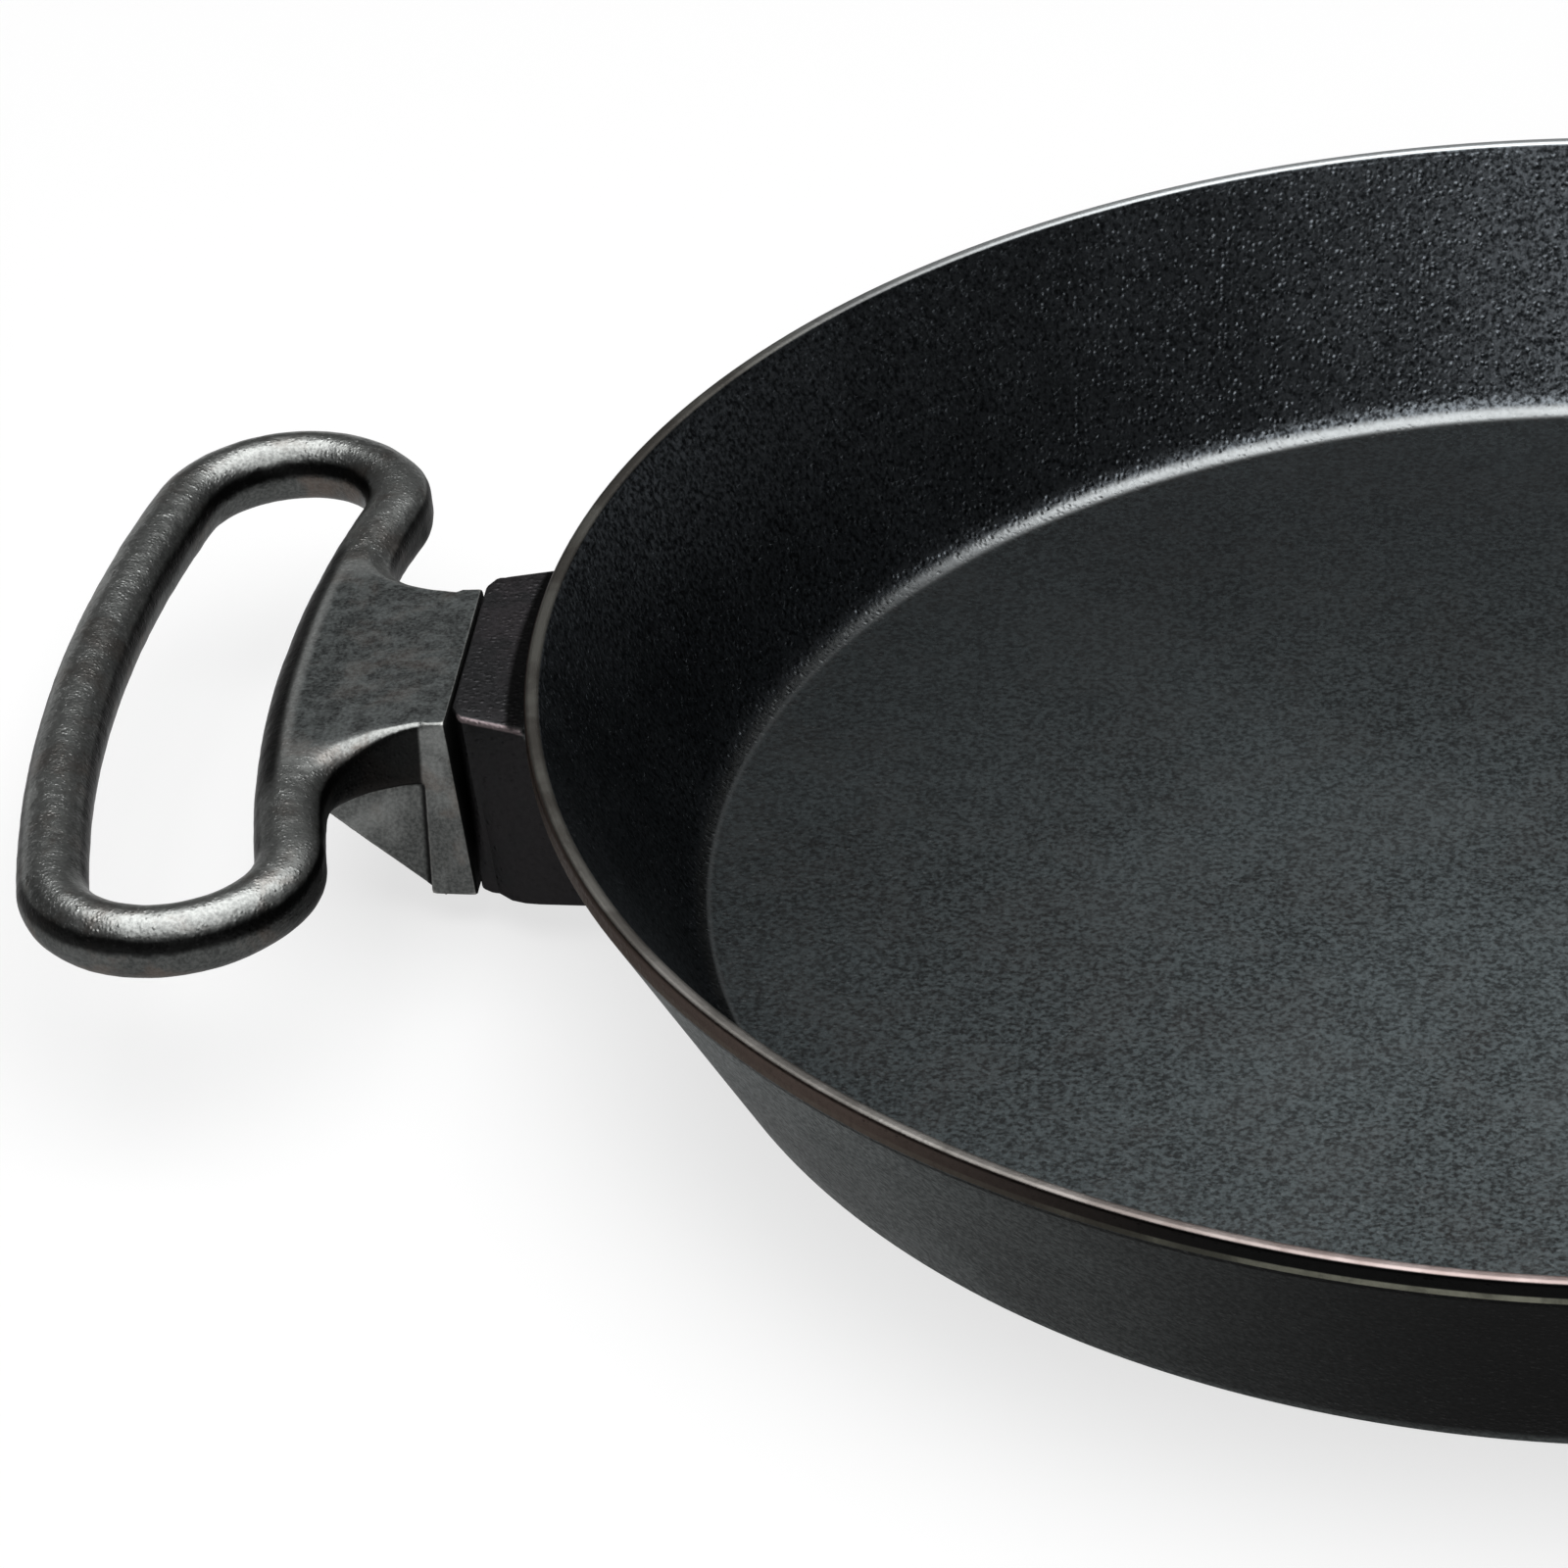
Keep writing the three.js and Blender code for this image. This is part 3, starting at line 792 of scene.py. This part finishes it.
def handleDistance(points):
    # Distance in millimetres to the right handle's surface, below zero inside it
    x, y, z = points[..., 0], points[..., 1], points[..., 2]
    lean, seat = handle["tilt"], lug["seatTopX"]
    along = seat + (x - seat) * math.cos(lean) - (z - handle["neckHeight"]) * math.sin(lean)
    up = (x - seat) * math.sin(lean) + (z - handle["neckHeight"]) * math.cos(lean)
    bar, half = handle["bar"], handle["width"] / 2

    # Loop in plan: a strip that runs half a width away from a bent middle line
    bowX = pan["rimRadius"] + handle["reach"] - handle["bow"]
    middle = handle["bow"] - half
    end = math.asin(handle["endHalf"] / middle)
    endX = bowX + middle * math.cos(end)
    onBow = np.abs(np.arctan2(y, along - bowX)) < end
    aside = np.where(onBow, np.abs(np.hypot(along - bowX, y) - middle),
                     np.hypot(along - endX, np.abs(y) - handle["endHalf"]))
    loop = np.abs(aside - half) - bar

    # Neck in plan: hollowed on both sides by a fillet that runs into the bar
    buried = handle["bow"] - handle["width"] - bar + handle["neckSink"]
    filletY = handle["neckHalf"] + handle["neckFillet"]
    filletX = bowX + math.sqrt((buried - handle["neckFillet"]) ** 2 - filletY ** 2)
    hollow = handle["neckFillet"] - np.hypot(along - filletX, np.abs(y) - filletY)
    barMiddle = np.hypot(along - bowX, y) - (handle["bow"] - handle["width"])
    neck = np.maximum.reduce([hollow, np.abs(y) - filletY, barMiddle - bar + handle["neckInset"]])

    # Both as one plate with round edges, tighter ones near the flange
    tipX, foot, back = handle["cheekTip"], handle["flangeFoot"], handle["flangeBack"]
    rounding = np.clip((along - back) / handle["neckRun"], 0, 1)
    edge = handle["neckEdge"] + (bar - handle["neckEdge"]) * rounding * rounding * (3 - 2 * rounding)
    casting = roundedBox(edge, softUnion(loop, neck, handle["neckBlend"]), np.abs(up) - bar)
    casting = np.maximum(casting, back - handle["flangeOverlap"] - along)

    # Gusset cheeks under the neck
    tipZ = handle["neckHeight"] - (tipX - seat) * math.tan(lean) - bar
    run, rise = tipX - back, tipZ - foot
    slant = ((x - back) * rise - (z - foot) * run) / math.hypot(run, rise)
    cheek = roundedBox(handle["cheekEdge"], between(np.abs(y), handle["cheekIn"], handle["cheekOut"]),
                       np.maximum(slant, up),
                       between(x, back - handle["flangeOverlap"], tipX - handle["cheekShort"]))
    gusseted = softUnion(casting, cheek, handle["cheekBlend"])

    # Flange against the lug, its tenon, and the bolt's hole
    seatFace = (seatX(z) + handle["seam"] - x) * math.cos(lug["lean"])
    upright = np.maximum(between(z, foot, handle["flangeTop"]), up - bar - handle["flangeProud"])
    flange = roundedBox(handle["flangeEdge"], np.maximum(seatFace, x - back),
                        np.abs(y) - handle["flangeHalf"], upright)
    casting = np.minimum(flange, np.maximum(gusseted, seatFace + handle["seatClear"]))
    tenon = roundedBox(handle["tenonEdge"], between(x, handle["tenonEnd"], back - handle["tenonOverlap"]),
                       np.abs(y) - handle["tenonHalf"], between(z, handle["tenonFoot"], handle["tenonTop"]))
    hole = handle["boltHole"] - np.hypot(y, z - handle["boltHeight"])
    return np.maximum(np.minimum(casting, tenon), hole)


def skinSurface(name, distance, low, high, cell):
    # Meshes the surface where a distance is zero: one point in each cell that it crosses
    axes = [np.arange(start, stop + cell, cell) for start, stop in zip(low, high)]
    field = distance(np.stack(np.meshgrid(*axes, indexing="ij"), -1))
    inside = field < 0
    shape = [count - 1 for count in field.shape]
    total, crossings = np.zeros((*shape, 3)), np.zeros(shape)
    corners = [(a, b, c) for a in (0, 1) for b in (0, 1) for c in (0, 1)]

    def corner(values, spot):
        return values[tuple(slice(step, step + size) for step, size in zip(spot, shape))]

    for axis in range(3):
        for spot in corners:
            if spot[axis]:
                continue
            far = tuple(1 if index == axis else step for index, step in enumerate(spot))
            near, beyond = corner(field, spot), corner(field, far)
            cut = (near < 0) != (beyond < 0)
            share = np.where(cut, near / np.where(cut, near - beyond, 1), 0)
            for index in range(3):
                step = share if index == axis else spot[index]
                total[..., index] += np.where(cut, step, 0)
            crossings += cut
    used = crossings > 0
    number = np.full(shape, -1)
    number[used] = np.arange(used.sum())
    cells = np.argwhere(used)
    points = np.array(low) + cell * (cells + total[used] / crossings[used][:, None])
    # Settle the points on the true surface
    nudge = cell * handle["nudge"]
    for _ in range(handle["settleRounds"]):
        value = distance(points)
        slope = np.stack([(distance(points + step) - value) / nudge for step in np.eye(3) * nudge], -1)
        length = np.maximum((slope ** 2).sum(-1), handle["leastSlope"])
        points -= np.clip(value / length, -cell / 2, cell / 2)[:, None] * slope
    # One face for each grid edge that the surface crosses, between the four cells around it
    faces = []
    for axis in range(3):
        first, second = (axis + 1) % 3, (axis + 2) % 3
        near = np.take(inside, range(inside.shape[axis] - 1), axis)
        beyond = np.take(inside, range(1, inside.shape[axis]), axis)
        spots = np.argwhere(near != beyond)
        around = []
        for a, b in ((-1, -1), (0, -1), (0, 0), (-1, 0)):
            beside = spots.copy()
            beside[:, first] += a
            beside[:, second] += b
            around.append(number[tuple(beside.T)])
        quads = np.stack(around, -1)
        flip = beyond[tuple(spots.T)]
        quads[flip] = quads[flip][:, ::-1]
        faces += quads.tolist()
    return makeObject(name, points.tolist(), faces)


def roughCasting(made, cast):
    # Moves the surface a little, as a sand mould leaves it
    shape = cast["fall"], cast["lacunarity"], cast["octaves"]
    for vertex, normal in zip(made.data.vertices, made.data.vertex_normals):
        spot = vertex.co / mm
        swell = noise.fractal(spot / cast["swellSize"], *shape)
        dent = noise.fractal(spot / cast["dentSize"], *shape)
        vertex.co += normal.vector * (swell * cast["swell"] + dent * cast["dent"]) * mm
    made.data.update()
    return made


handleMetal = handleIron()
rightHandle = skinSurface("rightHandle", handleDistance, handle["boxLow"], handle["boxHigh"], handle["cell"])
leftHandle = leftCopy(rightHandle, "leftHandle")
for made, side in ((rightHandle, "right"), (leftHandle, "left")):
    roughCasting(made, castSurface)
    made.data.shade_smooth()
    wear(made, handleMetal)
    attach(made, side + "_handle")
    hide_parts(side + "_handle")
    print(made.name, len(made.data.polygons), "faces")


# Bolts and washers, made along Z from the tip and then laid along X

bolt = {
    "radius": 5.0, "length": 35.0, "tip": 1.2, "tipX": 220.7, "steps": 48, "rowsPerTurn": 10,
    "pitch": 1.5, "threadDepth": 0.75, "threadTo": 26.0, "grooveFull": 1.25, "grooveSlope": 3.2,
    "flats": 16.0, "head": 6.4, "headOverlap": 0.3, "crownSteps": 72,
    # Bevels of the head: shares of the half flats, then millimetres
    "underShare": 0.97, "shoulderShare": 0.95, "topShare": 0.9,
    "under": 0.1, "underBevel": 0.9, "topBevel": 0.75, "shoulderDrop": 0.02, "pastCorners": 0.2,
}
washers = {
    "hole": 5.3, "edge": 0.25, "arcSteps": 3,
    "flatRadius": 10.0, "flatThick": 2.0, "flatX": 250.9, "flatEdge": 0.6, "flatSteps": 72,
    "springRadius": 9.0, "springThick": 2.2, "springX": 253.2, "split": 2.0, "slant": 0.1, "springSteps": 64,
}
fastenerFinish = {
    "boltSteel": {"clean": rgb(0.34, 0.35, 0.36), "dull": rgb(0.15, 0.14, 0.13), "grainSize": 0.5},
    "washerSteel": {"clean": rgb(0.48, 0.49, 0.50), "dull": rgb(0.25, 0.24, 0.22), "grainSize": 0.4},
    "springSteel": {"clean": rgb(0.22, 0.23, 0.24), "dull": rgb(0.09, 0.085, 0.08), "grainSize": 0.4},
    "stain": {"Size": 7.0, "Low": 0.45, "High": 0.62}, "rub": {"Start": 0.52, "Full": 0.6},
    "rubbed": rgb(0.6, 0.6, 0.6), "rubShare": 0.5, "rough": (0.3, 0.48), "bumpStrength": 0.4, "bump": 0.02,
}


def fastenerSteel(name):
    finish, steel = fastenerFinish, fastenerFinish[name]
    material, tree, shader = startMaterial(name, Metallic=1.0)
    grain = useGroup(tree, sandGrain, Size=steel["grainSize"])
    stain = useGroup(tree, uneven, **finish["stain"])["Mask"]
    rub = useGroup(tree, rubbedEdge, **finish["rub"])["Mask"]
    colour = mixColours(tree, stain, steel["clean"], steel["dull"])
    colour = mixColours(tree, times(tree, rub, finish["rubShare"]), colour, finish["rubbed"])
    tree.links.new(colour, shader["Base Color"])
    tree.links.new(ramp(tree, stain, 0.0, 1.0, *finish["rough"]), shader["Roughness"])
    bump = addNode(tree, "Bump", {
        "Height": grain["Height"], "Strength": finish["bumpStrength"], "Distance": finish["bump"] * mm,
    })
    tree.links.new(bump.outputs["Normal"], shader["Normal"])
    return material


def layAlongX(made, startX):
    turn = Matrix.Rotation(math.pi / 2, 4, "Y")
    made.data.transform(Matrix.Translation(Vector((startX, 0, handle["boltHeight"])) * mm) @ turn)
    return made


def boltObject(name):
    length, pitch, radius, depth = bolt["length"], bolt["pitch"], bolt["radius"], bolt["threadDepth"]
    rows = int(length / pitch * bolt["rowsPerTurn"])
    rings = []
    for row in range(rows + 1):
        along = length * row / rows + (bolt["headOverlap"] if row == rows else 0)
        fade = clamp((bolt["threadTo"] - along) / pitch)
        tip = max(bolt["tip"] - along, 0)
        ring = []
        for step in range(bolt["steps"]):
            share = step / bolt["steps"]
            phase = (along / pitch - share) % 1
            groove = clamp(bolt["grooveFull"] - abs(phase - 0.5) * bolt["grooveSlope"]) * depth * fade
            reach = min(radius - groove, radius - tip)
            angle = 2 * math.pi * share
            ring.append((reach * math.cos(angle), reach * math.sin(angle), along))
        rings.append(ring)
    shank = faceOutward(makeObject(name, *joinRings(rings)))

    # Hexagon head, with its corners turned off above and below
    flat, corner, tall = bolt["flats"] / 2, bolt["flats"] / math.sqrt(3), bolt["head"]
    hexRings = []
    for along in (length, length + tall):
        turns = [math.pi / 3 * side for side in range(6)]
        hexRings.append([(corner * math.cos(turn), corner * math.sin(turn), along) for turn in turns])
    head = faceOutward(makeObject(name + "Head", *joinRings(hexRings)))
    past = corner + bolt["pastCorners"]
    crown = [
        (0, -bolt["under"]), (flat * bolt["underShare"], -bolt["under"]), (past, bolt["underBevel"]),
        (past, tall - bolt["topBevel"]), (flat * bolt["shoulderShare"], tall - bolt["shoulderDrop"]),
        (flat * bolt["topShare"], tall), (0, tall),
    ]
    crown = turnProfile(name + "Crown", [(r, length + h) for r, h in crown], bolt["crownSteps"])
    combine(head, crown, "INTERSECT")
    combine(shank, head, "UNION")
    return layAlongX(shank, bolt["tipX"])


def washerSection(radius, thick, outerEdge):
    hole, edge = washers["hole"], washers["edge"]
    corners = [(hole, 0, edge), (radius, 0, outerEdge), (radius, thick, edge), (hole, thick, edge)]
    return roundedOutline(corners, washers["arcSteps"])


def flatWasherObject(name):
    section = washerSection(washers["flatRadius"], washers["flatThick"], washers["flatEdge"])
    return layAlongX(closedTurn(name, section, washers["flatSteps"]), washers["flatX"])


def springWasherObject(name):
    thick, steps = washers["springThick"], washers["springSteps"]
    section = washerSection(washers["springRadius"], thick, washers["edge"])
    gap = math.asin(washers["split"] / (washers["hole"] + washers["springRadius"]))
    rings = []
    for step in range(steps + 1):
        ring = []
        for r, z in section:
            # The split is cut on a slant
            turn = gap + (2 * math.pi - 2 * gap) * step / steps + washers["slant"] * (z / thick - 0.5)
            ring.append((r * math.cos(turn), r * math.sin(turn), z))
        rings.append(ring)
    return layAlongX(faceOutward(makeObject(name, *joinRings(rings))), washers["springX"])


# Name, maker, ends of the body's and the node's names, slot, steel, sharp angle
fasteners = [
    ("Bolt", boltObject, "_bolt", "_bolt", "bolt_steel", "boltSteel", 28),
    ("FlatWasher", flatWasherObject, "_handle", "_flat_washer", "washer_steel", "washerSteel", 35),
    ("SpringWasher", springWasherObject, "_handle", "_spring_washer", "spring_steel", "springSteel", 35),
]
for label, maker, bodyEnd, nodeEnd, slotName, steelName, sharpAngle in fasteners:
    metal = fastenerSteel(steelName)
    right = maker("right" + label)
    for made, side in ((right, "right"), (leftCopy(right, "left" + label), "left")):
        wear(smoothShade(made, sharpAngle), metal)
        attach(made, side + bodyEnd)
        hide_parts(side + nodeEnd)
print("bolts and washers done")


# Floor, light and camera, in metres and watts

studio = {
    "sweepRadius": 60.0, "sweepHeight": 6.0, "sweepSteps": 96, "floorDrop": 0.0002,
    "floorColour": rgb(0.93, 0.93, 0.93), "floorLift": 0.72, "world": 0.03,
    "softboxPower": 41.0, "softboxSize": (2.0, 2.4),
    "softboxPlace": (-0.2, -0.1, 1.5), "softboxAim": (-0.2, -0.1, 0.0),
    "frontPower": 3.0, "frontSize": (0.4, 0.4), "frontPlace": (0.25, -2.3, 1.25), "frontAim": (0.0, 0.0, 0.0),
}
view = {
    "place": (0.031043, -1.51998, 0.959534), "turn": (58.4897, 2.2152, 6.5014),
    "lens": 195.678, "sensor": 36.0, "clipEnd": 100.0,
}


def paleFloor():
    # A wide floor with a low upright edge, which camera and mirror rays see as almost white
    far, tall = studio["sweepRadius"] / mm, studio["sweepHeight"] / mm
    made = turnProfile("paleFloor", [(0, 0), (far, 0), (far, tall)], studio["sweepSteps"])
    made.location.z = -studio["floorDrop"]
    material = bpy.data.materials.new("paleFloor")
    material.use_nodes = True
    tree = material.node_tree
    tree.nodes.clear()
    lightPath = addNode(tree, "LightPath").outputs
    seen = calc(tree, "MAXIMUM", lightPath["Is Camera Ray"], lightPath["Is Glossy Ray"])
    seen = calc(tree, "MAXIMUM", seen, lightPath["Is Transmission Ray"])
    matte = addNode(tree, "BsdfDiffuse", {"Color": studio["floorColour"]})
    glow = addNode(tree, "Emission", {"Color": rgb(1, 1, 1), "Strength": 1.0})
    mix = addNode(tree, "MixShader", {0: times(tree, seen, studio["floorLift"])})
    tree.links.new(matte.outputs[0], mix.inputs[1])
    tree.links.new(glow.outputs[0], mix.inputs[2])
    out = addNode(tree, "OutputMaterial")
    tree.links.new(mix.outputs[0], out.inputs["Surface"])
    wear(made, material)


def areaLamp(name, power, size, spot, aim):
    data = bpy.data.lights.new(name, "AREA")
    data.shape = "RECTANGLE"
    data.size, data.size_y = size
    data.energy = power
    lamp = bpy.data.objects.new(name, data)
    lamp.location = spot
    lamp.rotation_euler = (Vector(aim) - Vector(spot)).to_track_quat("-Z", "Y").to_euler()
    scene.collection.objects.link(lamp)


paleFloor()
for label in ("softbox", "front"):
    areaLamp(label, *[studio[label + part] for part in ("Power", "Size", "Place", "Aim")])

world = bpy.data.worlds.new("studio")
world.use_nodes = True
background = world.node_tree.nodes["Background"].inputs
background["Color"].default_value = rgb(1, 1, 1)
background["Strength"].default_value = studio["world"]
scene.world = world

cameraData = bpy.data.cameras.new("camera")
cameraData.lens = view["lens"]
cameraData.sensor_width = view["sensor"]
cameraData.clip_end = view["clipEnd"]
camera = bpy.data.objects.new("camera", cameraData)
camera.location = view["place"]
camera.rotation_euler = [math.radians(angle) for angle in view["turn"]]
scene.collection.objects.link(camera)
scene.camera = camera
scene.view_settings.view_transform = "Standard"
print("studio done")
